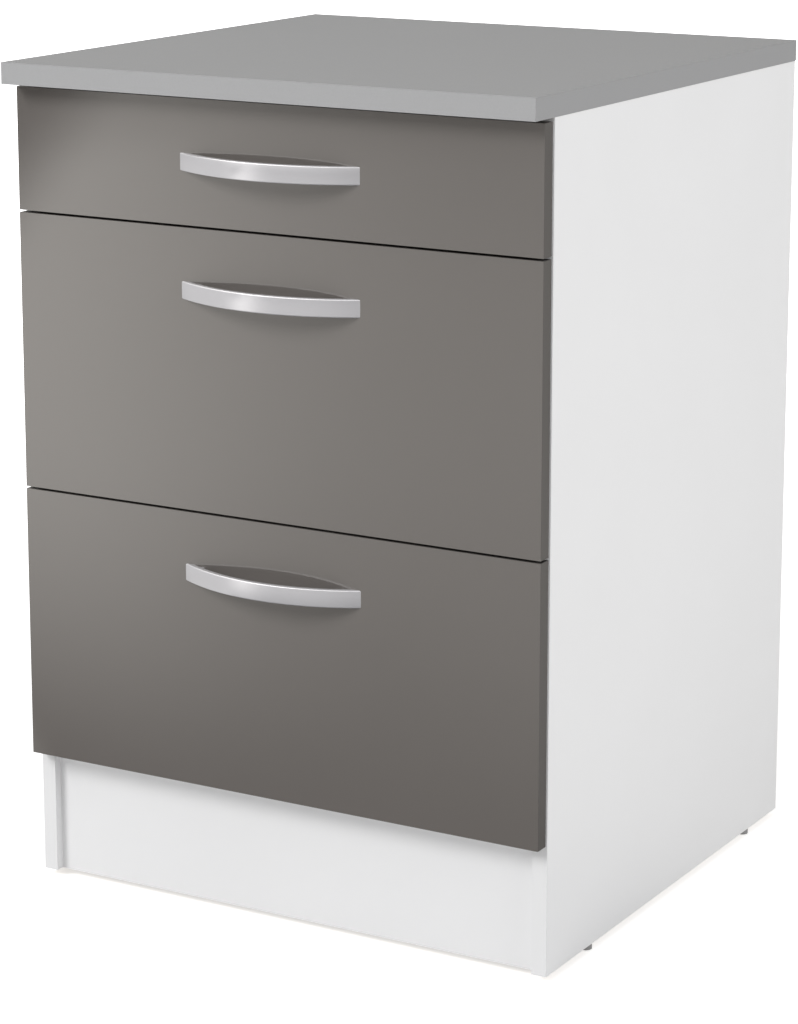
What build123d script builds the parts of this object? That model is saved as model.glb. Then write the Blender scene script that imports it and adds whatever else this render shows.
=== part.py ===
from build123d import *
import os
from collections import namedtuple
from math import sqrt

# A kitchen base cabinet with three drawers: a white board carcass under a grey worktop, glossy
# grey drawer fronts with bowed handles, and board drawer boxes on steel roller runners.
# Sizes are in millimetres. X runs across the cabinet with 0 on its centre line, Y runs from the
# front (negative) to the wall, and Z rises from the floor that the glides stand on.

# Carcass boards and worktop
WORKTOP_WIDTH = 600.0
WORKTOP_THICK = 22.0
WORKTOP_OVERHANG = 40.0  # the worktop's front edge ahead of the carcass
WORKTOP_SIDE_LAP = 1.0  # the worktop's ends outside the side panels
CARCASS_DEPTH = 560.0
SIDE_THICK = 16.0
BASE_THICK = 16.0
PLINTH_HEIGHT = 127.0
PLINTH_THICK = 16.0
PLINTH_RECESS = 10.0  # the plinth's face behind the side panels' front edges
RAIL_THICK = 16.0
RAIL_DEPTH = 100.0
BACK_THICK = 3.0
BACK_INSET = 20.0  # the back panel's rear face in from the carcass's rear edges
BACK_GROOVE_DEPTH = 8.0
PANEL_FIT = 0.1  # clearance on each side of a thin panel in its groove

# Nail-on glides under the side panels
GLIDE_RADIUS = 6.5
GLIDE_HEIGHT = 7.0
GLIDE_FROM_FRONT = 102.0
GLIDE_FROM_REAR = 74.0

# Drawer fronts
FRONT_THICK = 16.0
TALL_FRONT = 285.0
SHORT_FRONT = 125.0
FRONT_GAP = 2.5  # between one front and the next
FRONT_TOP_GAP = 4.0  # between the top front and the worktop
FRONT_LAP = 7.0  # the bottom front's lower edge above the base panel's underside
FRONT_SIDE_REVEAL = 1.0  # the fronts' ends inside the carcass's outer faces
FRONT_STANDOFF = 1.5  # the fronts' back faces ahead of the carcass

# Drawer boxes
BOX_BOARD = 16.0
BOX_HEIGHT = 180.0  # of the two tall drawers
BOX_CLEARANCE = 11.0  # the bottom box's lower edge above the base panel
BOX_HEADROOM = 13.0  # over the top box, under the rails, to lift it off its rollers
REAR_SPACE = 38.5  # from a closed box's rear end to the back panel
BOTTOM_THICK = 3.0
BOTTOM_RISE = 10.0  # the underside of a drawer bottom above the box's lower edge
BOTTOM_GROOVE_DEPTH = 7.0

# Bowed handles
HANDLE_SPAN = 204.0
HANDLE_PROJECTION = 28.0
HANDLE_HEIGHT = 18.0
HANDLE_THICK = 6.0
HANDLE_EDGE = 1.6  # the chamfer along the strap's two outer edges
HANDLE_DROP = 62.5  # the handle's centre line below the front's top edge
BOSS_INSET = 18.0  # each boss's centre in from the strap's end
BOSS_WIDTH = 8.0
BOSS_HEIGHT = 15.4
HANDLE_SCREW_RADIUS = 2.0
HANDLE_SCREW_GRIP = 6.0  # how far a screw enters the handle's boss
HANDLE_SCREW_HEAD_RADIUS = 4.0
HANDLE_SCREW_HEAD_THICK = 2.2
HANDLE_HOLE_CLEARANCE = 0.4

# Roller runners, bent from steel strip
STEEL = 1.2
RUNNER_SPACE = 12.5  # between a side panel and a drawer box
RUNNER_SETBACK = 2.0  # the cabinet member's front end behind the carcass's front
SIDE_PLAY = 0.9  # sideways between the cabinet member's lower flange and the drawer member
UPPER_FLANGE = 9.0
UPPER_FLANGE_START = 40.0  # the upper flange's start behind the cabinet member's front end
TRACK_EDGE_GAP = 2.0  # the track flange's edge in from the side panel
SEAT_DROP = 4.0  # the drawer box's lower edge below the cabinet member's lower flange
SEAT_WIDTH = 14.0
REAR_ROLLER_RADIUS = 11.0
FRONT_ROLLER_RADIUS = 8.8
FRONT_ROLLER_WIDTH = 8.4
REAR_ROLLER_WIDTH = 6.0
ROLLING_PLAY = 0.1  # between a roller and the surface that it runs on
ROLLER_HEADROOM = 0.6  # above the rear roller, under the upper flange
FRONT_ROLLER_LIFT = 0.4  # under the front roller, over the lower flange
FRONT_ROLLER_BACK = 20.0  # its axis behind the cabinet member's front end
REAR_ROLLER_IN = 12.0  # its axis ahead of the drawer member's rear end
TRACK_NOTCH_GAP = 4.0  # between the rear roller and the end of the track flange
MEMBER_TAIL = 5.0  # the cabinet member's rear end behind the rear roller
HOLD_BACK = 104.5  # from the front roller's axis to the rear one's, with the drawer out
STOP_HEIGHT = 3.0
STOP_LENGTH = 4.0
STOP_PLAY = 0.3
PIN_RADIUS = 2.5
PIN_FIT = 0.05
END_PLAY = 0.1  # between a roller and the web that its pin stands on
MEMBER_END_GAP = 0.3  # between a drawer member's front end and the drawer front

# ----------------------------------------------------------------- places worked out from them
RIGHT = 1
LEFT = -1

handle_ahead = FRONT_STANDOFF + FRONT_THICK + HANDLE_PROJECTION  # of the carcass
handle_reach = max(handle_ahead - WORKTOP_OVERHANG, 0.0)  # of the worktop
worktop_depth = CARCASS_DEPTH + WORKTOP_OVERHANG
worktop_front = -(worktop_depth + handle_reach) / 2 + handle_reach
worktop_back = worktop_front + worktop_depth
carcass_front = worktop_front + WORKTOP_OVERHANG
carcass_back = worktop_back

carcass_half = WORKTOP_WIDTH / 2 - WORKTOP_SIDE_LAP
inner_half = carcass_half - SIDE_THICK
front_half = carcass_half - FRONT_SIDE_REVEAL
box_half = inner_half - RUNNER_SPACE
box_inner_half = box_half - BOX_BOARD
groove_half = box_inner_half + BOTTOM_GROOVE_DEPTH  # how far the drawer floor's grooves reach

carcass_bottom = GLIDE_HEIGHT
base_under = carcass_bottom + PLINTH_HEIGHT
base_top = base_under + BASE_THICK
lowest_front = base_under + FRONT_LAP
carcass_top = lowest_front + 2 * TALL_FRONT + SHORT_FRONT + 2 * FRONT_GAP + FRONT_TOP_GAP
rail_under = carcass_top - RAIL_THICK
worktop_top = carcass_top + WORKTOP_THICK
side_rise = BASE_THICK - FRONT_LAP + BOX_CLEARANCE  # each box's lower edge above its front's
short_side = SHORT_FRONT + FRONT_TOP_GAP - RAIL_THICK - BOX_HEADROOM - side_rise

back_front = carcass_back - BACK_INSET - BACK_THICK  # the back panel's front face
front_back = carcass_front - FRONT_STANDOFF  # the drawer fronts' back faces
front_face = front_back - FRONT_THICK
box_back = back_front - REAR_SPACE

member_front = carcass_front + RUNNER_SETBACK
front_axis = member_front + FRONT_ROLLER_BACK
rear_axis = box_back - REAR_ROLLER_IN
member_back = rear_axis + REAR_ROLLER_RADIUS + MEMBER_TAIL
travel = rear_axis - front_axis - HOLD_BACK

handle_radius = ((HANDLE_SPAN / 2) ** 2 + HANDLE_PROJECTION**2) / (2 * HANDLE_PROJECTION)
handle_centre = front_face - HANDLE_PROJECTION + handle_radius  # Y of the bow's centre
boss_centre = HANDLE_SPAN / 2 - BOSS_INSET  # X of the handle's bosses and their screws

Drawer = namedtuple("Drawer", "name bottom height side_height")


def stacked_drawers():
    """The three drawers from the bottom up: each front stands one gap above the last."""
    drawers = []
    bottom = lowest_front
    for name, height, side in (
        ("bottom", TALL_FRONT, BOX_HEIGHT),
        ("middle", TALL_FRONT, BOX_HEIGHT),
        ("top", SHORT_FRONT, short_side),
    ):
        drawers.append(Drawer(name, bottom, height, side))
        bottom += height + FRONT_GAP
    return drawers


def box_bottom(drawer):
    return drawer.bottom + side_rise


def flange_level(drawer):
    """The rolling surface of a cabinet member's lower flange."""
    return box_bottom(drawer) + SEAT_DROP


# ----------------------------------------------------------------- shape helpers
def board(x0, x1, y0, y1, z0, z1):
    """A square-edged board between two corners."""
    size = Box(x1 - x0, y1 - y0, z1 - z0, align=Align.MIN)
    return Pos(x0, y0, z0) * size


def rod(start, direction, radius, length):
    """A round bar or drill from a point along a direction."""
    align = (Align.CENTER, Align.CENTER, Align.MIN)
    return Plane(start, z_dir=direction) * Cylinder(radius, length, align=align)


def stepped_rod(start, direction, *steps):
    """Round steps on one axis, each a radius and a length, as on a turned pin."""
    point, way = Vector(*start), Vector(*direction)
    pieces = []
    for radius, length in steps:
        pieces.append(rod(point, way, radius, length))
        point = point + way * length
    return fused(pieces)


def fused(pieces):
    whole = pieces[0]
    for piece in pieces[1:]:
        whole = whole + piece
    return whole


def cut(solid, tools):
    for tool in tools:
        solid = solid - tool
    return solid


def on_side(shape, side):
    """Pieces are drawn on the right-hand side, and mirrored for the left."""
    return shape if side == RIGHT else mirror(shape, about=Plane.YZ)


def strip_profile(points, y0, y1):
    """A bent strip: its outline in X and Z, extruded from y0 to y1."""
    outline = make_face(Plane.XZ.offset(-y0) * Polyline(*points, close=True))
    return extrude(outline, amount=y1 - y0, dir=(0, 1, 0))


def both_sides(shapes):
    return shapes + [on_side(shape, LEFT) for shape in shapes]


# ----------------------------------------------------------------- carcass
def worktop():
    half = WORKTOP_WIDTH / 2
    return board(-half, half, worktop_front, worktop_back, carcass_top, worktop_top)


def back_groove(x0, x1, z0, z1):
    y0, y1 = back_front - PANEL_FIT, back_front + BACK_THICK + PANEL_FIT
    return board(x0, x1, y0, y1, z0, z1)


def side_panel(side):
    panel = board(inner_half, carcass_half, carcass_front, carcass_back, carcass_bottom, carcass_top)
    floor = base_top - BACK_GROOVE_DEPTH
    groove = back_groove(inner_half, inner_half + BACK_GROOVE_DEPTH, floor, carcass_top)
    return on_side(panel - groove, side)


def base_panel():
    panel = board(-inner_half, inner_half, carcass_front, carcass_back, base_under, base_top)
    return panel - back_groove(-inner_half, inner_half, base_top - BACK_GROOVE_DEPTH, base_top)


def top_rail(y0):
    return board(-inner_half, inner_half, y0, y0 + RAIL_DEPTH, rail_under, carcass_top)


def back_panel():
    half = inner_half + BACK_GROOVE_DEPTH - PANEL_FIT
    floor = base_top - BACK_GROOVE_DEPTH + PANEL_FIT
    return board(-half, half, back_front, back_front + BACK_THICK, floor, carcass_top)


def plinth():
    face = carcass_front + PLINTH_RECESS
    return board(-inner_half, inner_half, face, face + PLINTH_THICK, carcass_bottom, base_under)


def floor_glides():
    """Four round plastic glides, nailed up into the side panels' lower edges."""
    centre = carcass_half - SIDE_THICK / 2
    rows = (carcass_front + GLIDE_FROM_FRONT, carcass_back - GLIDE_FROM_REAR)
    return both_sides([rod((centre, y, 0), (0, 0, 1), GLIDE_RADIUS, GLIDE_HEIGHT) for y in rows])


# ----------------------------------------------------------------- runners and rollers
def from_panel(distance):
    """X at a distance in from the right-hand side panel's inner face."""
    return inner_half - distance


def roller(start, direction, radius, width):
    """A nylon roller, from the end that runs beside the web."""
    return rod(start, direction, radius, width) - rod(start, direction, PIN_RADIUS + PIN_FIT, width)


def front_roller_height(drawer):
    return flange_level(drawer) + FRONT_ROLLER_LIFT + FRONT_ROLLER_RADIUS


def rear_roller_height(drawer):
    return flange_level(drawer) + ROLLING_PLAY + REAR_ROLLER_RADIUS


def stop_lug(drawer, x0, x1):
    """A raised lug that the rear roller meets low on its front when the drawer is out."""
    rise = ROLLING_PLAY + REAR_ROLLER_RADIUS - STOP_HEIGHT
    touch = sqrt(REAR_ROLLER_RADIUS**2 - rise**2)  # ahead of the roller's axis
    back = rear_axis - travel - touch - STOP_PLAY
    level = flange_level(drawer)
    return board(x0, x1, back - STOP_LENGTH, back, level, level + STOP_HEIGHT)


def cabinet_runner(drawer, side):
    """A channel that opens inward. The rear roller runs between its flanges, and the front
    roller turns on its pin. The drawer is tipped in where the upper flange is cut away."""
    level = flange_level(drawer)
    ceiling = rear_roller_height(drawer) + REAR_ROLLER_RADIUS + ROLLER_HEADROOM
    outer, inner = from_panel(0), from_panel(STEEL)
    lower = from_panel(RUNNER_SPACE - STEEL - SIDE_PLAY)
    upper = from_panel(UPPER_FLANGE)
    outline = [
        (lower, level - STEEL),
        (outer, level - STEEL),
        (outer, ceiling + STEEL),
        (upper, ceiling + STEEL),
        (upper, ceiling),
        (inner, ceiling),
        (inner, level),
        (lower, level),
    ]
    channel = strip_profile(outline, member_front, member_back)
    flange_start = member_front + UPPER_FLANGE_START
    mouth = board(upper, inner, member_front, flange_start, ceiling, ceiling + STEEL)
    pin_start = (inner, front_axis, front_roller_height(drawer))
    pin = rod(pin_start, (-1, 0, 0), PIN_RADIUS, END_PLAY + FRONT_ROLLER_WIDTH)
    return on_side(channel - mouth + stop_lug(drawer, lower, inner) + pin, side)


def drawer_runner(drawer, side):
    """A Z-shaped member: a seat under the drawer side, a web against it, and an outward track
    that lies on the front roller and ends ahead of the rear one."""
    seat = box_bottom(drawer)
    track = front_roller_height(drawer) + FRONT_ROLLER_RADIUS + ROLLING_PLAY
    outer, inner = from_panel(RUNNER_SPACE - STEEL), from_panel(RUNNER_SPACE)
    edge = from_panel(TRACK_EDGE_GAP)
    outline = [
        (inner - SEAT_WIDTH, seat - STEEL),
        (outer, seat - STEEL),
        (outer, track),
        (edge, track),
        (edge, track + STEEL),
        (inner, track + STEEL),
        (inner, seat),
        (inner - SEAT_WIDTH, seat),
    ]
    member = strip_profile(outline, front_back + MEMBER_END_GAP, box_back)
    notch_front = rear_axis - REAR_ROLLER_RADIUS - TRACK_NOTCH_GAP
    notch = board(outer, edge, notch_front, box_back, track, track + STEEL)
    pin_start = (outer, rear_axis, rear_roller_height(drawer))
    pin = rod(pin_start, (1, 0, 0), PIN_RADIUS, END_PLAY + REAR_ROLLER_WIDTH)
    return on_side(member - notch + pin, side)


def front_roller(drawer, side):
    start = (from_panel(STEEL + END_PLAY), front_axis, front_roller_height(drawer))
    return on_side(roller(start, (-1, 0, 0), FRONT_ROLLER_RADIUS, FRONT_ROLLER_WIDTH), side)


def rear_roller(drawer, side):
    start = (from_panel(RUNNER_SPACE - STEEL - END_PLAY), rear_axis, rear_roller_height(drawer))
    return on_side(roller(start, (1, 0, 0), REAR_ROLLER_RADIUS, REAR_ROLLER_WIDTH), side)


# ----------------------------------------------------------------- drawers
def handle_height(drawer):
    return drawer.bottom + drawer.height - HANDLE_DROP


def handle_holes(drawer):
    """Where the handle's two screws leave the drawer front's face."""
    return [(x, front_face, handle_height(drawer)) for x in (-boss_centre, boss_centre)]


def floor_groove(drawer, x0, x1, y0, y1):
    z0 = box_bottom(drawer) + BOTTOM_RISE - PANEL_FIT
    return board(x0, x1, y0, y1, z0, z0 + BOTTOM_THICK + 2 * PANEL_FIT)


def drawer_front(drawer):
    top = drawer.bottom + drawer.height
    panel = board(-front_half, front_half, front_face, front_back, drawer.bottom, top)
    groove = floor_groove(drawer, -groove_half, groove_half, front_back - BOTTOM_GROOVE_DEPTH, front_back)
    radius = HANDLE_SCREW_RADIUS + HANDLE_HOLE_CLEARANCE
    holes = [rod(point, (0, 1, 0), radius, FRONT_THICK) for point in handle_holes(drawer)]
    return cut(panel, [groove] + holes)


def drawer_side(drawer, side):
    z0 = box_bottom(drawer)
    panel = board(box_inner_half, box_half, front_back, box_back, z0, z0 + drawer.side_height)
    return on_side(panel - floor_groove(drawer, box_inner_half, groove_half, front_back, box_back), side)


def drawer_back(drawer):
    """It stands on the drawer's floor, between the sides."""
    z0 = box_bottom(drawer)
    front = box_back - BOX_BOARD
    floor = z0 + BOTTOM_RISE + BOTTOM_THICK
    return board(-box_inner_half, box_inner_half, front, box_back, floor, z0 + drawer.side_height)


def drawer_floor(drawer):
    half = groove_half - PANEL_FIT
    front = front_back - BOTTOM_GROOVE_DEPTH + PANEL_FIT
    z0 = box_bottom(drawer) + BOTTOM_RISE
    return board(-half, half, front, box_back, z0, z0 + BOTTOM_THICK)


def handle(drawer):
    """A strap bowed on one radius and cut off flat where it meets the drawer front, with a
    rectangular boss behind it for each screw."""
    strap = Rectangle(HANDLE_THICK, HANDLE_HEIGHT)
    strap = chamfer(strap.vertices().group_by(Axis.X)[-1], HANDLE_EDGE)
    middle = handle_radius - HANDLE_THICK / 2
    height = handle_height(drawer)
    bow = Pos(0, handle_centre, height) * revolve(Plane.XZ * Pos(middle, 0) * strap, Axis.Z)
    ahead = Pos(0, front_face, height) * Box(
        HANDLE_SPAN, 2 * HANDLE_PROJECTION, 2 * HANDLE_HEIGHT, align=(Align.CENTER, Align.MAX, Align.CENTER)
    )
    boss_length = front_face - handle_centre + sqrt(middle**2 - boss_centre**2)
    boss = Box(BOSS_WIDTH, boss_length, BOSS_HEIGHT, align=(Align.CENTER, Align.MAX, Align.CENTER))
    bosses = [Pos(*point) * boss for point in handle_holes(drawer)]
    threads = [
        rod(point, (0, -1, 0), HANDLE_SCREW_RADIUS, HANDLE_SCREW_GRIP) for point in handle_holes(drawer)
    ]
    return cut(fused([bow & ahead] + bosses), threads)


def handle_screws(drawer):
    """Two pan-headed screws from inside the drawer, through its front, into the bosses."""
    head = (HANDLE_SCREW_HEAD_RADIUS, HANDLE_SCREW_HEAD_THICK)
    shank = (HANDLE_SCREW_RADIUS, FRONT_THICK + HANDLE_SCREW_GRIP)
    start = front_back + HANDLE_SCREW_HEAD_THICK
    return [stepped_rod((x, start, z), (0, -1, 0), head, shank) for x, _, z in handle_holes(drawer)]


# ----------------------------------------------------------------- writing the sub-parts
def write(name, shape, colour):
    """One file for each sub-part. A list of shapes is a group of separate solids."""
    solids = shape if isinstance(shape, list) else [shape]
    solids = [solid for piece in solids for solid in piece.solids()]
    whole = solids[0] if len(solids) == 1 else Compound(children=solids)
    whole.label = name
    whole.color = Color(*colour)
    export_step(whole, f"parts/{name}.step")


WHITE = (0.86, 0.86, 0.85)
GREY_LAMINATE = (0.36, 0.36, 0.36)
GREY_GLOSS = (0.23, 0.22, 0.21)
SILVER = (0.75, 0.75, 0.76)
STEEL_GREY = (0.62, 0.63, 0.64)
ZINC = (0.55, 0.56, 0.58)
NYLON = (0.93, 0.93, 0.90)
DARK_PLASTIC = (0.22, 0.22, 0.22)

os.makedirs("parts", exist_ok=True)
drawers = stacked_drawers()

write("worktop", worktop(), GREY_LAMINATE)
write("left_side_panel", side_panel(LEFT), WHITE)
write("right_side_panel", side_panel(RIGHT), WHITE)
write("base_panel", base_panel(), WHITE)
write("front_rail", top_rail(carcass_front), WHITE)
write("rear_rail", top_rail(back_front - RAIL_DEPTH), WHITE)
write("back_panel", back_panel(), WHITE)
write("plinth", plinth(), WHITE)
write("floor_glides", floor_glides(), DARK_PLASTIC)

for drawer in drawers:
    write(f"{drawer.name}_front", drawer_front(drawer), GREY_GLOSS)
    write(f"{drawer.name}_back", drawer_back(drawer), WHITE)
    write(f"{drawer.name}_floor", drawer_floor(drawer), WHITE)
    write(f"{drawer.name}_handle", handle(drawer), SILVER)
    write(f"{drawer.name}_handle_screws", handle_screws(drawer), ZINC)
    for word, side in (("left", LEFT), ("right", RIGHT)):
        write(f"{drawer.name}_{word}_side", drawer_side(drawer, side), WHITE)
        write(f"{drawer.name}_{word}_cabinet_runner", cabinet_runner(drawer, side), STEEL_GREY)
        write(f"{drawer.name}_{word}_drawer_runner", drawer_runner(drawer, side), STEEL_GREY)
        write(f"{drawer.name}_{word}_front_roller", front_roller(drawer, side), NYLON)
        write(f"{drawer.name}_{word}_rear_roller", rear_roller(drawer, side), NYLON)

overall_depth = worktop_depth + handle_reach
print(f"overall {WORKTOP_WIDTH:.1f} x {overall_depth:.1f} x {worktop_top:.1f}, drawer travel {travel:.1f}")
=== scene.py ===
"""A kitchen base cabinet with three drawers: finishes, handles, fasteners, light and camera."""

import math

import bpy
import numpy as np
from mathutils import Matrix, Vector


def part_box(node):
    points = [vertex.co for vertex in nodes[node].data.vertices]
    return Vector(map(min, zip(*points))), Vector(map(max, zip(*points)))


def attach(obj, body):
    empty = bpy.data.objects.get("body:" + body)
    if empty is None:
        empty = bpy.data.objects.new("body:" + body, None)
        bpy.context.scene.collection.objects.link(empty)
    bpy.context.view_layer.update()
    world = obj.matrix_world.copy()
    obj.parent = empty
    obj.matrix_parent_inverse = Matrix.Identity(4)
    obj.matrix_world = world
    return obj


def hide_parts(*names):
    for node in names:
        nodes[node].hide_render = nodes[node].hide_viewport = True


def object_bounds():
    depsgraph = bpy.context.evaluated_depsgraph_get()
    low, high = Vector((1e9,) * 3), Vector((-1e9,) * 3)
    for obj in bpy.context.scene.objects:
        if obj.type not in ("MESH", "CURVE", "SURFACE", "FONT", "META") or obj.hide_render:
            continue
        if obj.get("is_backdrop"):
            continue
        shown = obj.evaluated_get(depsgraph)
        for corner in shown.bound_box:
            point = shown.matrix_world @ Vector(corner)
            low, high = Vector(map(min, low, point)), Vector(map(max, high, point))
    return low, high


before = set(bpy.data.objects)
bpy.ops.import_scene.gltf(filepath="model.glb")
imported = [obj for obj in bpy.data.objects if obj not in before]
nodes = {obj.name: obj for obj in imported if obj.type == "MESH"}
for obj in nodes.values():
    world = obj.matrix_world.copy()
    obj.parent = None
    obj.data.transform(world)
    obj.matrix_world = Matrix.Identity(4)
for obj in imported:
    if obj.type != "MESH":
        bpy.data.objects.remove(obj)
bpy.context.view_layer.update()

DRAWERS = ("bottom", "middle", "top")
SIDES = {"left": -1.0, "right": 1.0}

# Smooth handles, in metres
STRAP_THICK = 0.006
STRAP_OUTER_EDGE = 0.0013  # rounding of the two edges that a hand meets
STRAP_INNER_EDGE = 0.0010
BOSS_WIDTH = 0.008
BOSS_HEIGHT = 0.0154
BOSS_OFFSET = 0.084  # each boss's centre from the handle's middle
BOSS_EDGE = 0.0008  # rounding of a boss's four edges
BOSS_BITE = 0.003  # how far a boss reaches into the strap

# Boards and seams
BAND = 0.001  # the edge band glued to a board's front edge
FRONT_BAND = 0.0009  # the band's edge behind a drawer front's face
STRIP_JOINT = 0.0008  # the worktop's joint line below its top
SEAM_HALF = 0.00012  # half the width of a seam line

# Small fasteners: radius, height and recess depth of their heads
RIVET = (0.0037, 0.0011)
RUNNER_SCREW = (0.0038, 0.0014, 0.0008)
WORKTOP_SCREW = (0.0042, 0.0014, 0.0008)
BOX_SCREW = (0.0036, 0.0008, 0.0006)
CAM_DISC = (0.0075, 0.0007, 0.0005)
RUNNER_SCREW_DEPTHS = (-0.196, 0.020, 0.195)  # their Y
WORKTOP_SCREW_OFFSET = 0.20  # from the cabinet's middle, either way
RUNNER_STEEL = 0.0012  # the strip that a cabinet member is bent from
BOX_SCREW_INSET = 0.008  # in from the drawer side's rear end
CAM_INSET = 0.034  # behind the drawer side's front end
BOX_FIXING_SHARES = (0.38, 0.80)  # of the drawer side's height

# Camera, at the photograph's own place
CAMERA_PLACE = (1.6057, -2.8102, 1.2023)
CAMERA_TURN = (29.997, 12.053)  # azimuth and elevation that it looks from, in degrees
CAMERA_LENS, CAMERA_SENSOR = 110.57, 36.0
CAMERA_SHIFT = (0.0024, -0.12)

# Light
AMBIENT = 0.44  # the sky's strength for the light's own rays
LIT_MIDDLE = (0.0, 0.0, 0.45)  # what the lamps face
FLOOR_REACH = 30.0  # from the middle to the floor's edges
FLOOR_GLOW = 0.60  # what seen rays find on the floor by the cabinet, besides its own light
CARD_WHITE = (1.0, 0.975, 0.925, 1.0)


# ------------------------------------------------------------------ shader sockets
class Wire:
    """One shader socket: arithmetic on it adds Math nodes, and node() adds any other node."""

    def __init__(self, tree, socket=None):
        self.tree, self.socket = tree, socket

    def node(self, kind, settings=None, sockets=None, out=0):
        """A node of that kind: its settings first, then its sockets' values or links."""
        made = self.tree.nodes.new("ShaderNode" + kind)
        for name, value in (settings or {}).items():
            setattr(made, name, value)
        for name, value in (sockets or {}).items():
            if isinstance(value, Wire):
                self.tree.links.new(value.socket, made.inputs[name])
            else:
                made.inputs[name].default_value = value
        return Wire(self.tree, made.outputs[out] if made.outputs else None)

    def maths(self, operation, *terms):
        """A Math node for an operation that has no operator in Python."""
        return self.node("Math", {"operation": operation}, dict(enumerate(terms)))

    def __add__(self, other):
        return self.maths("ADD", self, other)

    __radd__ = __add__

    def __sub__(self, other):
        return self.maths("SUBTRACT", self, other)

    def __rsub__(self, other):
        return self.maths("SUBTRACT", other, self)

    def __mul__(self, other):
        return self.maths("MULTIPLY", self, other)

    __rmul__ = __mul__

    def __truediv__(self, other):
        return self.maths("DIVIDE", self, other)

    def __gt__(self, other):
        return self.maths("GREATER_THAN", self, other)

    def __lt__(self, other):
        return self.maths("LESS_THAN", self, other)

    def __abs__(self):
        return self.maths("ABSOLUTE", self)

    def smooth(self, low, high):
        """0 below low and 1 above high, with a smooth step between them."""
        return self.node(
            "MapRange",
            {"interpolation_type": "SMOOTHSTEP"},
            {"Value": self, "From Min": low, "From Max": high},
        )

    def bell(self, centre, width):
        """A bell curve of height 1 round its centre: e to the minus square of the way out."""
        out = (self - centre) / width
        return self.maths("EXPONENT", out * out * -1.0)

    def place(self):
        """The Object coordinates, as a vector and as its three parts."""
        vector = self.node("TexCoord", out="Object")
        return vector, *(self.node("SeparateXYZ", sockets={0: vector}, out=k) for k in range(3))

    def normal(self):
        """The three parts of the surface's own direction, which tell a board's faces apart."""
        facing = self.node("TexCoord", out="Normal")
        return (self.node("SeparateXYZ", sockets={0: facing}, out=k) for k in range(3))

    def noise(self, vector, scale, detail=2.0, roughness=0.5):
        """Cloudy noise, with about scale clouds in a metre."""
        return self.node(
            "TexNoise",
            sockets={"Vector": vector, "Scale": scale, "Detail": detail, "Roughness": roughness},
        )

    def stretched(self, vector, scale):
        """The vector with its three parts scaled apart, for grain and brushing."""
        return self.node("Mapping", sockets={"Vector": vector, "Scale": scale})

    def blend(self, factor, first, second):
        """A colour between the first and second, by the factor."""
        return self.node("Mix", {"data_type": "RGBA"}, {0: factor, 6: first, 7: second}, out=2)

    def bump(self, height, distance, strength=1.0):
        """A normal that tilts as the height does, where a height of 1 is that distance."""
        return self.node(
            "Bump", sockets={"Height": height, "Distance": distance, "Strength": strength}
        )


def tone(level, warmth=(1.0, 1.0, 1.0)):
    """A linear colour from an sRGB level of 0 to 255, tinted by warmth."""
    value = level / 255.0
    linear = value / 12.92 if value <= 0.04045 else ((value + 0.055) / 1.055) ** 2.4
    return (*(linear * part for part in warmth), 1.0)


WARM_GREY = (1.09, 1.0, 0.935)
COOL_GREY = (1.0, 1.002, 1.018)
CREAM = (1.0, 1.0, 1.008)
SILVER = (1.0, 0.993, 1.04)
CHIP_LIGHT = tone(208, (1.13, 0.94, 0.69))
CHIP_DARK = tone(158, (1.18, 0.91, 0.60))
HARDBOARD_LIGHT = tone(166, (1.20, 0.93, 0.62))
HARDBOARD_DARK = tone(134, (1.24, 0.90, 0.55))


def finish(name, build, **constants):
    """A material whose Principled sockets come from build(wire), and its constants from here."""
    material = bpy.data.materials.new(name)
    material.use_nodes = True
    tree = material.node_tree
    tree.nodes.clear()
    wire = Wire(tree)
    shader = wire.node("BsdfPrincipled", sockets={**constants, **build(wire)})
    wire.node("OutputMaterial", sockets={"Surface": shader})
    return material


def chipboard(wire, place):
    """Raw pressed chips: pale and dark flakes a few millimetres long, in a cut edge."""
    flakes = wire.noise(place, 420.0, 3.0, 0.7)
    return wire.blend(flakes.smooth(0.38, 0.62), CHIP_DARK, CHIP_LIGHT)


def melamine(level, banded=None, raw_rear=False, raw_under=False):
    """White melamine: a pebbled sheen, with a band on the front edge where banded gives that
    edge's Y, and raw chipboard where the board is cut behind or below. The band is a real edge
    band, and its tone, a little darker than the face, is painted shade."""

    def build(wire):
        place, _, y, _ = wire.place()
        _, facing, upright = wire.normal()
        cloud = wire.noise(place, 7.0, 3.0)
        pebble = wire.noise(place, 1300.0, 2.0)
        colour = wire.blend(cloud, tone(level - 1.5, CREAM), tone(level + 1.5, CREAM))
        rough = 0.40 + cloud * 0.10 + pebble * 0.06
        grain = pebble
        if banded is not None:
            band_and_painted_shade = facing < -0.5
            seam = abs(y - (banded + BAND)) < SEAM_HALF
            # painted shade: the front-facing band is drawn a little darker than the board's face
            colour = wire.blend(band_and_painted_shade, colour, tone(level - 3.0, CREAM))
            colour = wire.blend(seam * 0.45, colour, tone(120, CREAM))
            rough = rough - band_and_painted_shade * 0.08
        raw = 0.0
        if raw_rear:
            raw = (facing > 0.5) + raw
        if raw_under:
            raw = (upright < -0.5) + raw
        if raw_rear or raw_under:
            colour = wire.blend(raw, colour, chipboard(wire, place))
            rough = rough + raw * 0.35
            grain = pebble + raw * wire.noise(place, 420.0, 3.0, 0.7) * 3.0
        return {
            "Base Color": colour,
            "Roughness": rough,
            "Normal": wire.bump(grain, 0.00004),
        }

    return build


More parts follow.
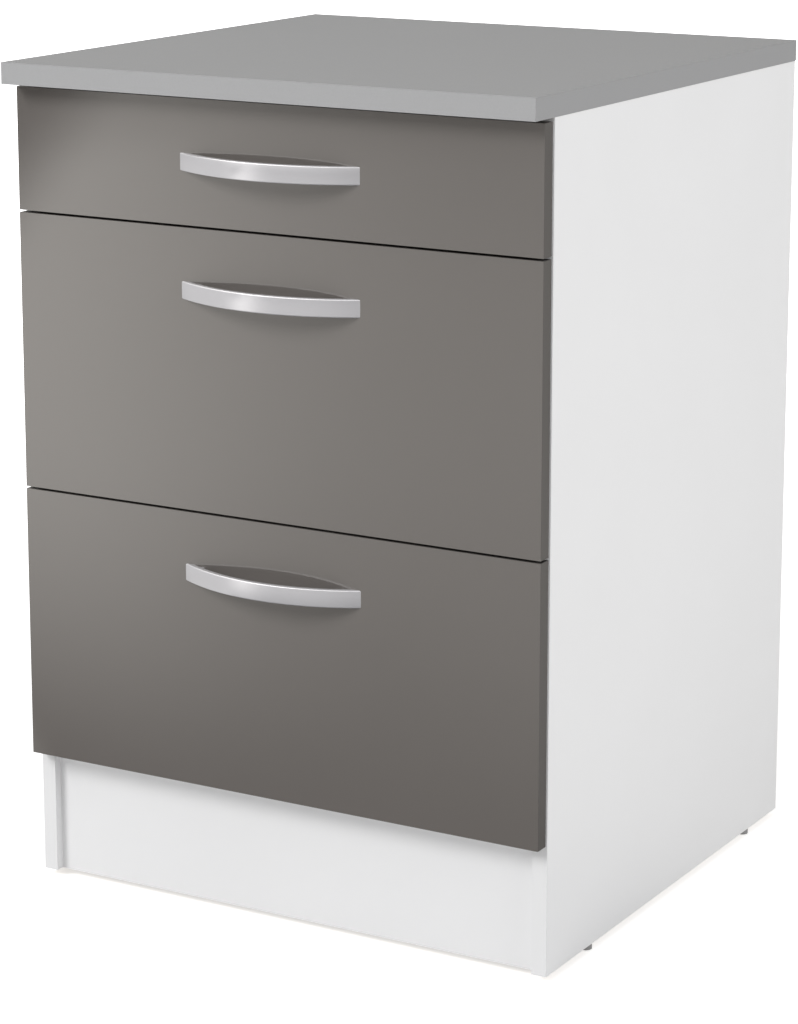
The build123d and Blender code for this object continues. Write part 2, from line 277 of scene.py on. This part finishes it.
def laminate(wire):
    """Grey worktop laminate: even grey with a fine speckle, jointed strips on the edges, paper
    below, and raw chipboard behind. The front strip is a real edge strip, and its lighter grey
    is painted light."""
    place, _, _, z = wire.place()
    sideways, facing, upright = wire.normal()
    cloud = wire.noise(place, 5.0, 3.0)
    speckle = wire.noise(place, 900.0, 3.0, 0.65)
    even = wire.blend(cloud, tone(154, COOL_GREY), tone(157, COOL_GREY))
    even = wire.blend(abs(sideways) > 0.5, even, tone(157, COOL_GREY))
    front_strip_painted_light = facing < -0.5
    # painted light: the front strip and its speckle are drawn lighter than the top and sides
    even = wire.blend(front_strip_painted_light, even, tone(165, COOL_GREY))
    spot = wire.blend(front_strip_painted_light, tone(150), tone(160))
    colour = wire.blend(speckle.smooth(0.35, 0.70) * 0.5, even, spot)
    joint = abs(z - (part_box("worktop")[1].z - STRIP_JOINT)) < SEAM_HALF
    colour = wire.blend(joint * 0.35, colour, tone(110))
    colour = wire.blend(upright < -0.5, colour, tone(150, (1.06, 0.98, 0.86)))
    rear = facing > 0.5
    colour = wire.blend(rear, colour, chipboard(wire, place))
    return {
        "Base Color": colour,
        "Roughness": 0.52 + speckle * 0.12 + rear * 0.3,
        "Normal": wire.bump(speckle, 0.00005),
    }


def gloss_front(wire):
    """High-gloss warm grey: a clear smooth coat with the long faint ripple of pressed foil, on
    the face alone. The four banded edges are satin, in a darker grey that is painted shade,
    and the rear is white."""
    place, _, y, _ = wire.place()
    _, facing, _ = wire.normal()
    cloud = wire.noise(place, 6.0, 2.0)
    ripple = wire.noise(place, 38.0, 2.0)
    dust = wire.noise(place, 1500.0, 1.0)
    rear = facing > 0.5
    uncoated_with_painted_shade = facing > -0.5
    seam = abs(y - (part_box("bottom_front")[0].y + FRONT_BAND)) < SEAM_HALF
    colour = wire.blend(cloud, tone(100, WARM_GREY), tone(102, WARM_GREY))
    # painted shade: the satin edges are drawn darker grey than the coated face
    colour = wire.blend(uncoated_with_painted_shade, colour, tone(76, WARM_GREY))
    colour = wire.blend(seam * 0.4, colour, tone(60, WARM_GREY))
    return {
        "Base Color": wire.blend(rear, colour, tone(233, CREAM)),
        "Roughness": 0.075 + dust * 0.008 + uncoated_with_painted_shade * 0.38,
        "Coat Weight": 1.0 - uncoated_with_painted_shade,
        "Normal": wire.bump(ripple, 0.00006, 0.5),
    }


def hardboard(axis, way):
    """Thin hardboard: white on the face that looks way along the axis, and bare brown fibre on
    the other face and the edges."""

    def build(wire):
        place, *_ = wire.place()
        white = list(wire.normal())[axis] * way > 0.5
        fibre = wire.noise(wire.stretched(place, (1.0, 1.0, 0.35)), 650.0, 4.0, 0.7)
        cloud = wire.noise(place, 9.0, 3.0)
        brown = wire.blend(fibre.smooth(0.3, 0.7), HARDBOARD_DARK, HARDBOARD_LIGHT)
        paint = wire.blend(cloud, tone(227, CREAM), tone(231, CREAM))
        return {
            "Base Color": wire.blend(white, brown, paint),
            "Roughness": 0.72 + cloud * 0.1 - white * 0.3,
            "Normal": wire.bump(fibre * (1.5 - white * 1.2), 0.00006),
        }

    return build


def satin_metal(wire):
    """Satin aluminium: brush lines along the strap, fine across it, with a soft cloudy sheen."""
    place, *_ = wire.place()
    lines = wire.noise(wire.stretched(place, (14.0, 14.0, 2600.0)), 1.0, 3.0, 0.6)
    cloud = wire.noise(place, 30.0, 2.0)
    return {
        "Base Color": wire.blend(lines, tone(209, SILVER), tone(211, SILVER)),
        "Roughness": 0.20 + lines * 0.02 + cloud * 0.02,
        "Normal": wire.bump(lines, 0.00002, 0.08),
    }


def coated_steel(wire):
    """White epoxy-coated steel strip: an orange-peel skin with a faintly cloudy sheen."""
    place, *_ = wire.place()
    peel = wire.noise(place, 520.0, 2.0)
    cloud = wire.noise(place, 25.0, 2.0)
    return {
        "Base Color": wire.blend(cloud, tone(222, CREAM), tone(229, CREAM)),
        "Roughness": 0.34 + cloud * 0.08,
        "Normal": wire.bump(peel, 0.00005),
    }


def nylon(wire):
    """Moulded nylon: milky white with a faint flow pattern."""
    place, *_ = wire.place()
    flow = wire.noise(place, 160.0, 3.0)
    return {
        "Base Color": wire.blend(flow, tone(226, (1.0, 0.99, 0.95)), tone(236, (1.0, 0.99, 0.96))),
        "Roughness": 0.38 + flow * 0.1,
        "Normal": wire.bump(flow, 0.00005),
    }


def grey_plastic(wire):
    """Moulded grey plastic: a fine spark-eroded texture."""
    place, *_ = wire.place()
    spark = wire.noise(place, 1400.0, 2.0)
    return {
        "Base Color": wire.blend(spark, tone(146), tone(158)),
        "Roughness": 0.5 + spark * 0.15,
        "Normal": wire.bump(spark, 0.00006),
    }


def zinc(wire):
    """Bright zinc plate: small drifts of lighter and darker crystals."""
    place, *_ = wire.place()
    drift = wire.noise(place, 900.0, 3.0)
    return {
        "Base Color": wire.blend(drift, tone(178), tone(202)),
        "Roughness": 0.26 + drift * 0.18,
        "Normal": wire.bump(drift, 0.00003),
    }


# ------------------------------------------------------------------ shapes worked out with numpy
def grid_faces(rows, columns):
    """Quads of a grid closed round its columns, with its two end rows closed by flat faces."""
    row, column = np.meshgrid(np.arange(rows - 1), np.arange(columns), indexing="ij")
    after = (column + 1) % columns
    quads = np.stack(
        [
            row * columns + column,
            row * columns + after,
            (row + 1) * columns + after,
            (row + 1) * columns + column,
        ],
        axis=-1,
    ).reshape(-1, 4)
    first = list(range(columns))[::-1]
    last = list(range((rows - 1) * columns, rows * columns))
    return [*quads.tolist(), first, last]


def rounded_rectangle(low, high, radii, steps=7):
    """A closed outline with a quarter circle of its own radius at each corner.

    low and high are opposite corners; radii go round from the corner at (low, low):
    each arc is its centre plus the radius times (cos, sin) of a quarter turn."""
    centres = np.array([(low[0], low[1]), (high[0], low[1]), (high[0], high[1]), (low[0], high[1])])
    inward = np.array([(1, 1), (-1, 1), (-1, -1), (1, -1)])
    radii = np.array(radii)[:, None]
    turn = np.linspace(0.0, np.pi / 2, steps)[None, :] + (np.arange(4)[:, None] + 2) * np.pi / 2
    middle = centres + inward * radii
    x = middle[:, :1] + radii * np.cos(turn)
    y = middle[:, 1:] + radii * np.sin(turn)
    return np.stack([x.ravel(), y.ravel()], axis=-1)


def strap_shell(centre_y, plane_y, radius, middle_z, half_height, steps=96):
    """The bowed strap: a rounded section carried round an arc, ending in the front's plane.

    A fibre of the section at radius r runs through angles s times acos(depth / r), with s from
    -1 to 1, so that each fibre ends exactly where it meets the plane."""
    section = rounded_rectangle(
        (radius - STRAP_THICK, -half_height),
        (radius, half_height),
        (STRAP_INNER_EDGE, STRAP_OUTER_EDGE, STRAP_OUTER_EDGE, STRAP_INNER_EDGE),
    )
    share = np.linspace(-1.0, 1.0, steps)[:, None]
    reach = section[None, :, 0]
    angle = share * np.arccos((centre_y - plane_y) / reach)
    points = np.stack(
        [
            reach * np.sin(angle),
            centre_y - reach * np.cos(angle),
            np.broadcast_to(middle_z + section[None, :, 1], angle.shape),
        ],
        axis=-1,
    )
    return points.reshape(-1, 3), grid_faces(steps, len(section))


def boss_shell(middle, half_width, half_height, front_y, plane_y):
    """A handle's boss: a rounded rectangle carried straight from the strap to the front."""
    corner = (half_width, half_height)
    outline = rounded_rectangle((-half_width, -half_height), corner, (BOSS_EDGE,) * 4, 4)
    depth = np.array([front_y, plane_y])[:, None]
    points = np.stack(
        [
            np.broadcast_to(middle[0] + outline[:, 0], (2, len(outline))),
            np.broadcast_to(depth, (2, len(outline))),
            np.broadcast_to(middle[1] + outline[:, 1], (2, len(outline))),
        ],
        axis=-1,
    )
    return points.reshape(-1, 3), grid_faces(2, len(outline))


def head_shell(centre, outward, radius, height, slot_depth=0.0, around=32):
    """A low domed head on a surface, with a cross recess if it has one.

    The profile runs from the rim up a quarter ellipse to the middle. The recess lowers the dome
    by the slot depth times a smooth fall across each arm and along its length."""
    climb = np.linspace(0.0, np.pi / 2, 12)[:-1]
    crown = np.linspace(0.66, 0.06, 9)
    out = np.concatenate([[1.0], np.cos(climb) * 0.28 + 0.72, crown])
    rise = np.concatenate([[0.0], 0.35 + 0.45 * np.sin(climb), 0.8 + 0.2 * (1 - crown**2)])
    turn = np.arange(around) * 2 * np.pi / around
    flat_x = out[:, None] * np.cos(turn)
    flat_y = out[:, None] * np.sin(turn)
    arm = np.clip(1.6 - np.minimum(abs(flat_x), abs(flat_y)) / 0.09, 0.0, 1.0)
    length = np.clip((0.62 - np.maximum(abs(flat_x), abs(flat_y))) / 0.12, 0.0, 1.0)
    lift = rise[:, None] * height - slot_depth * arm * length
    outward = np.array(outward, float)
    side = np.cross(outward, (0.0, 0.0, 1.0) if abs(outward[2]) < 0.9 else (0.0, 1.0, 0.0))
    up = np.cross(side, outward)
    points = (
        np.array(centre)
        + radius * (flat_x[..., None] * side + flat_y[..., None] * up)
        + lift[..., None] * outward
    )
    return points.reshape(-1, 3), grid_faces(len(out), around)


def piece(name, shells, material, body, stands_for=(), crease=35.0):
    """One object from several closed shells, each turned to face outwards, riding on a body."""
    points, faces = [], []
    for vertices, polygons in shells:
        fan = [(p[0], p[k], p[k + 1]) for p in polygons for k in range(1, len(p) - 1)]
        a, b, c = (vertices[np.array(fan)[:, k]] - vertices.mean(0) for k in range(3))
        inside_out = (a * np.cross(b, c)).sum() < 0
        start = sum(len(p) for p in points)
        faces += [[start + v for v in (p[::-1] if inside_out else p)] for p in polygons]
        points.append(vertices)
    mesh = bpy.data.meshes.new(name)
    mesh.from_pydata(np.concatenate(points).tolist(), [], faces)
    mesh.shade_smooth()
    mesh.set_sharp_from_angle(angle=math.radians(crease))
    mesh.materials.append(material)
    made = bpy.data.objects.new(name, mesh)
    bpy.context.scene.collection.objects.link(made)
    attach(made, body)
    if stands_for:
        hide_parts(*stands_for)
    return made


# ------------------------------------------------------------------ finishes on the CAD nodes
side_low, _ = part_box("left_side_panel")
base_low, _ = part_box("base_panel")
WHITE = 234.0

side_board = finish("white_side_board", melamine(WHITE, side_low.y, True, True))
# painted shade: the plinth is the same white melamine drawn 1.5 levels darker
plinth_board = finish("white_plinth_board", melamine(WHITE - 1.5, raw_under=True))
base_board = finish("white_base_board", melamine(WHITE, base_low.y, raw_rear=True))
rail_board = finish("white_rail_board", melamine(WHITE, side_low.y))
box_board = finish("white_box_board", melamine(WHITE))
worktop_laminate = finish("grey_worktop_laminate", laminate, **{"Specular IOR Level": 0.15})
front_lacquer = finish("grey_gloss_lacquer", gloss_front, **{"Coat Roughness": 0.03})
back_hardboard = finish("back_hardboard", hardboard(1, -1.0))
floor_hardboard = finish("floor_hardboard", hardboard(2, 1.0))
handle_metal = finish("satin_handle_metal", satin_metal, Metallic=0.55)
runner_coating = finish("runner_coating", coated_steel)
roller_nylon = finish("roller_nylon", nylon)
glide_plastic = finish("glide_plastic", grey_plastic)
screw_zinc = finish("screw_zinc", zinc, Metallic=1.0)

FINISHES = {
    "worktop": worktop_laminate,
    "left_side_panel": side_board,
    "right_side_panel": side_board,
    "base_panel": base_board,
    "front_rail": rail_board,
    "rear_rail": rail_board,
    "back_panel": back_hardboard,
    "plinth": plinth_board,
    "floor_glides": glide_plastic,
}
for drawer in DRAWERS:
    FINISHES[drawer + "_front"] = front_lacquer
    FINISHES[drawer + "_back"] = box_board
    FINISHES[drawer + "_floor"] = floor_hardboard
    FINISHES[drawer + "_handle"] = handle_metal
    FINISHES[drawer + "_handle_screws"] = screw_zinc
    for side in SIDES:
        FINISHES[f"{drawer}_{side}_side"] = box_board
        FINISHES[f"{drawer}_{side}_cabinet_runner"] = runner_coating
        FINISHES[f"{drawer}_{side}_drawer_runner"] = runner_coating
        FINISHES[f"{drawer}_{side}_front_roller"] = roller_nylon
        FINISHES[f"{drawer}_{side}_rear_roller"] = roller_nylon
for name, node in nodes.items():
    node.data.materials.clear()
    node.data.materials.append(FINISHES[name])

# ------------------------------------------------------------------ handles
for drawer in DRAWERS:
    low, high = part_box(drawer + "_handle")
    span, bow = high.x - low.x, high.y - low.y
    radius = ((span / 2) ** 2 + bow**2) / (2 * bow)
    arc_centre = low.y + radius
    middle_z = (low.z + high.z) / 2
    shells = [strap_shell(arc_centre, high.y, radius, middle_z, (high.z - low.z) / 2)]
    strap_back = arc_centre - math.sqrt((radius - STRAP_THICK) ** 2 - BOSS_OFFSET**2)
    for way in SIDES.values():
        shells.append(
            boss_shell(
                (way * BOSS_OFFSET, middle_z),
                BOSS_WIDTH / 2,
                BOSS_HEIGHT / 2,
                strap_back - BOSS_BITE,
                high.y,
            )
        )
    piece(
        drawer + "_bow_handle",
        shells,
        handle_metal,
        drawer + "_drawer",
        stands_for=[drawer + "_handle"],
    )

# ------------------------------------------------------------------ small fasteners
def fasteners(name, heads, body):
    """One piece of zinc-plated heads that rides on a body."""
    return piece(name, heads, screw_zinc, body)


def sided(low, high, way):
    """A box's X on its outer side and on its inner side, for the half of the cabinet it is in."""
    return (high.x, low.x) if way > 0 else (low.x, high.x)


for drawer in DRAWERS:
    for side, way in SIDES.items():
        low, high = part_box(f"{drawer}_{side}_front_roller")
        _, inner = sided(low, high, way)
        middle = (low + high) / 2
        rivet = head_shell((inner, middle.y, middle.z), (-way, 0, 0), *RIVET)
        fasteners(f"{drawer}_{side}_front_rivet", [rivet], "carcass")

        low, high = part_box(f"{drawer}_{side}_rear_roller")
        outer, _ = sided(low, high, way)
        middle = (low + high) / 2
        rivet = head_shell((outer, middle.y, middle.z), (way, 0, 0), *RIVET)
        fasteners(f"{drawer}_{side}_rear_rivet", [rivet], drawer + "_drawer")

runner_screws = []
for drawer in DRAWERS:
    for side, way in SIDES.items():
        low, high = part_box(f"{drawer}_{side}_cabinet_runner")
        web = sided(low, high, way)[0] - way * RUNNER_STEEL
        runner_screws += [
            head_shell((web, y, (low.z + high.z) / 2), (-way, 0, 0), *RUNNER_SCREW)
            for y in RUNNER_SCREW_DEPTHS
        ]
fasteners("runner_screws", runner_screws, "carcass")

worktop_screws = [
    head_shell((x, (low.y + high.y) / 2, low.z), (0, 0, -1), *WORKTOP_SCREW)
    for low, high in (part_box("front_rail"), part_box("rear_rail"))
    for x in (-WORKTOP_SCREW_OFFSET, WORKTOP_SCREW_OFFSET)
]
fasteners("worktop_screws", worktop_screws, "carcass")

for drawer in DRAWERS:
    screws, cams = [], []
    for side, way in SIDES.items():
        low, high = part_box(f"{drawer}_{side}_side")
        outer, inner = sided(low, high, way)
        for share in BOX_FIXING_SHARES:
            z = low.z + (high.z - low.z) * share
            screws.append(head_shell((outer, high.y - BOX_SCREW_INSET, z), (way, 0, 0), *BOX_SCREW))
            cams.append(head_shell((inner, low.y + CAM_INSET, z), (-way, 0, 0), *CAM_DISC))
    fasteners(drawer + "_box_screws", screws, drawer + "_drawer")
    fasteners(drawer + "_cam_discs", cams, drawer + "_drawer")

# ------------------------------------------------------------------ floor, light and camera
def seen(wire):
    """1 for rays that come from the camera, a gloss or a glass, and 0 for the light's own."""
    path = wire.node("LightPath").socket.node
    camera, glossy, glass = (
        Wire(wire.tree, path.outputs[name])
        for name in ("Is Camera Ray", "Is Glossy Ray", "Is Transmission Ray")
    )
    return wire.maths("MAXIMUM", wire.maths("MAXIMUM", camera, glossy), glass)


def staged(name, points, faces, surface):
    """A sheet of the studio, which isn't part of the cabinet, with the shader surface(wire)."""
    mesh = bpy.data.meshes.new(name)
    mesh.from_pydata(points, [], faces)
    material = bpy.data.materials.new(name)
    material.use_nodes = True
    material.node_tree.nodes.clear()
    wire = Wire(material.node_tree)
    wire.node("OutputMaterial", sockets={"Surface": surface(wire)})
    mesh.materials.append(material)
    sheet = bpy.data.objects.new(name, mesh)
    bpy.context.scene.collection.objects.link(sheet)
    sheet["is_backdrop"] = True
    return sheet


def floor_surface(wire):
    """A matt pale floor that seen rays find white away from the cabinet, and shaded beside it."""
    ground, *_ = wire.place()
    away = wire.node("VectorMath", {"operation": "LENGTH"}, {0: ground}, out=1)
    matt = wire.node("BsdfDiffuse", sockets={"Color": tone(236)})
    strength = seen(wire) * (FLOOR_GLOW + away.smooth(0.8, 3.0))
    glow = wire.node("Emission", sockets={"Strength": strength})
    return wire.node("AddShader", sockets={0: matt, 1: glow})


def floor():
    """One flat square far wider than the cabinet."""
    corners = [(-1, -1), (1, -1), (1, 1), (-1, 1)]
    points = [(x * FLOOR_REACH, y * FLOOR_REACH, 0) for x, y in corners]
    staged("studio_floor", points, [(0, 1, 2, 3)], floor_surface)


def sky():
    """An even sky: white for seen rays, and dimmer as a light."""
    world = bpy.data.worlds.new("studio_world")
    bpy.context.scene.world = world
    world.use_nodes = True
    world.node_tree.nodes.clear()
    wire = Wire(world.node_tree)
    strength = AMBIENT + (1.0 - AMBIENT) * seen(wire)
    even = wire.node("Background", sockets={"Color": (1.0, 1.0, 1.0, 1.0), "Strength": strength})
    wire.node("OutputWorld", sockets={"Surface": even})


def card_surface(wire):
    """The cards' glow, by the azimuth round the cabinet in degrees, 0 ahead of it and negative to
    its left, and by the height and the way ahead.

    strength = (0.04 + wall * near) * corner * lid + above. wall is 0.6, with a bright bell ahead
    to the left, and dimmer to the right. near fades the sheet in from the cabinet's foot, by the
    logarithm of the way ahead and up. corner and lid dim what the top front mirrors at its upper
    left corner and along its upper edge. above brightens what the handles' rounded edges mirror."""
    _, x, y, z = wire.place()
    azimuth = wire.maths("ARCTAN2", x, 0.0 - y) * (180.0 / math.pi)
    leftward = 0.0 - azimuth
    low = 1.0 - z.smooth(0.6, 0.8)

    peak = azimuth.bell(-40.0, 10.4) * (1.0 - leftward.smooth(39.0, 49.0))
    left = leftward.smooth(40.0, 60.0) * 0.04 - leftward.smooth(100.0, 150.0) * 0.04
    right = azimuth.smooth(-5.0, 40.0) * 0.15 - azimuth.smooth(90.0, 140.0) * 0.35
    wall = 0.60 + peak * 1.2 + left - right

    ahead = wire.maths("LOGARITHM", wire.maths("MAXIMUM", z - y - 0.275, 0.05), math.e)
    ahead = ahead + azimuth.bell(-28.0, 8.0) * 0.15
    near = wire.maths("MAXIMUM", ahead.smooth(-1.15, 0.85), leftward.smooth(40.0, 46.0))
    near = wire.maths("MAXIMUM", near, azimuth.smooth(70.0, 110.0))

    slant = wire.maths("MAXIMUM", azimuth, -41.0) * 0.065 + 2.91
    corner = 1.0 - (z - slant).smooth(-0.14, 0.13) * azimuth.smooth(-46.0, -40.0) * low
    lid = z.smooth(0.44, 0.56) * 0.3 + z.smooth(0.15, 0.56) * azimuth.smooth(-31.0, -19.0) * 0.3
    lid = 1.0 - lid * low
    above = azimuth.bell(-30.0, 60.0) * (z.smooth(0.6, 1.0) * 0.7 + z.smooth(1.3, 2.2) * 2.5)

    strength = (0.04 + wall * near) * corner * lid + above
    return wire.node("Emission", sockets={"Color": CARD_WHITE, "Strength": strength})


def reflectors(radius=2.6, height=3.4, bend=0.3, start=0.2, around=72, up=48):
    """Cards round the cabinet that only its gloss sees: a sheet over the floor that turns up
    through a quarter circle into an upright wall, carried through a full circle of azimuth.

    Along the section, the first 0.4 runs out from start, the next 0.2 turns, and the last 0.4
    rises: out = run + bend * sin(turn), level = bend * (1 - cos(turn)) + rise."""
    azimuth = np.radians(np.linspace(-180.0, 180.0, around))[None, :]
    share = np.linspace(0.0, 1.0, up)
    turn = np.clip((share - 0.4) / 0.2, 0.0, 1.0) * np.pi / 2
    run = start + np.clip(share / 0.4, 0.0, 1.0) * (radius - bend - start)
    rise = np.clip((share - 0.6) / 0.4, 0, 1) * height
    out = (run + bend * np.sin(turn))[:, None]
    level = (0.001 + bend * (1 - np.cos(turn)) + rise)[:, None]
    points = np.stack(
        [out * np.sin(azimuth), -out * np.cos(azimuth), np.broadcast_to(level, (up, around))],
        axis=-1,
    )
    row, column = np.meshgrid(np.arange(up - 1), np.arange(around - 1), indexing="ij")
    first = (row * around + column).ravel()
    quads = np.stack([first, first + 1, first + 1 + around, first + around], axis=-1)
    cards = staged("reflector_cards", points.reshape(-1, 3).tolist(), quads.tolist(), card_surface)
    cards.visible_camera = cards.visible_diffuse = cards.visible_shadow = False
    cards.visible_transmission = False


def direction(azimuth, elevation):
    """The unit vector out towards an azimuth, 0 at the front, and an elevation, in degrees."""
    a, e = math.radians(azimuth), math.radians(elevation)
    return np.array([math.sin(a) * math.cos(e), -math.cos(a) * math.cos(e), math.sin(e)])


def look(thing, place, back):
    """Puts a lamp or camera at a place, facing against the vector back."""
    thing.location = place
    thing.rotation_mode = "QUATERNION"
    thing.rotation_quaternion = (-Vector(back)).to_track_quat("-Z", "Y")


def softlight(name, azimuth, elevation, distance, size, power):
    """A square area lamp that lights the cabinet's middle and isn't mirrored in the gloss."""
    data = bpy.data.lights.new(name, "AREA")
    data.shape, data.size, data.energy = "SQUARE", size, power
    lamp = bpy.data.objects.new(name, data)
    bpy.context.scene.collection.objects.link(lamp)
    back = direction(azimuth, elevation)
    look(lamp, np.array(LIT_MIDDLE) + back * distance, back)
    lamp.visible_glossy = False
    lamp.visible_camera = False


def camera():
    """The camera, which stands and looks as the constants above say."""
    data = bpy.data.cameras.new("camera")
    data.sensor_width, data.lens = CAMERA_SENSOR, CAMERA_LENS
    data.shift_x, data.shift_y = CAMERA_SHIFT
    eye = bpy.data.objects.new("camera", data)
    bpy.context.scene.collection.objects.link(eye)
    look(eye, CAMERA_PLACE, direction(*CAMERA_TURN))
    bpy.context.scene.camera = eye


floor()
sky()
reflectors()
softlight("key_light", azimuth=-32.0, elevation=34.0, distance=8.0, size=3.0, power=372.0)
softlight("fill_light", azimuth=84.0, elevation=20.0, distance=4.6, size=2.8, power=79.0)
camera()
bpy.context.scene.view_settings.view_transform = "Standard"

low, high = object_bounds()
